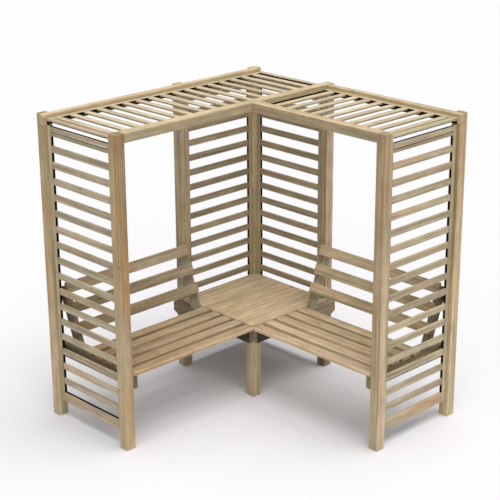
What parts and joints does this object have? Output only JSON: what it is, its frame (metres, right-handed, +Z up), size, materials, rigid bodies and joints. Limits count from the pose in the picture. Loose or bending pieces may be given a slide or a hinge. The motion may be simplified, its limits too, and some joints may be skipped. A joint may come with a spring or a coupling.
{
  "type": "arbour seat",
  "caption": "L-shaped timber corner arbour with slatted walls and a flat slatted roof over a bench in each wing, sloping slatted backrests and a boarded corner.",
  "frame": {"origin": "on the ground at the middle of the square plan that the two wings span", "axes": "+Z up; the right wing runs along +X and the left wing along -Y from the outer back corner, which stands at -X +Y, so the seat faces +X and -Y"},
  "size_m": [1.9, 1.9, 2.078],
  "materials": {
    "post": "planed, pressure treated",
    "beam": "planed, pressure treated",
    "panel": "planed, pressure treated",
    "board": "planed, pressure treated",
    "bearer": "planed, pressure treated"
  },
  "bodies": {
    "root": {"post_corner": "post", "post_left_middle": "post", "post_left_end_rear": "post", "post_left_end_front": "post", "post_right_middle": "post", "post_right_end_rear": "post", "post_right_end_front": "post", "leg_inner_corner": "post", "beam_left_rear": "beam", "beam_right_rear": "beam", "beam_left_front": "beam", "beam_right_front": "beam", "panel_left_end": "panel", "panel_right_end": "panel", "panel_left_back": "panel", "panel_right_back": "panel", "roof_panel_left": "panel", "roof_panel_right": "panel", "seat_board_left_1": "board", "seat_board_left_2": "board", "seat_board_left_3": "board", "seat_board_left_4": "board", "seat_board_left_5": "board", "seat_board_right_1": "board", "seat_board_right_2": "board", "seat_board_right_3": "board", "seat_board_right_4": "board", "seat_board_right_5": "board", "deck_board_1": "board", "deck_board_2": "board", "deck_board_3": "board", "deck_board_4": "board", "deck_board_5": "board", "deck_board_6": "board", "deck_board_7": "board", "deck_board_8": "board", "deck_board_9": "board", "deck_board_10": "board", "back_board_left_1": "board", "back_board_left_2": "board", "back_board_left_3": "board", "back_board_right_1": "board", "back_board_right_2": "board", "back_board_right_3": "board", "bearer_left_inner": "bearer", "bearer_left_end": "bearer", "bearer_right_inner": "bearer", "bearer_right_end": "bearer", "bearer_deck_rear": "bearer", "bearer_deck_front": "bearer", "back_upright_left_inner": "bearer", "back_upright_left_end": "bearer", "back_upright_right_inner": "bearer", "back_upright_right_end": "bearer"}
  },
  "joints": []
}
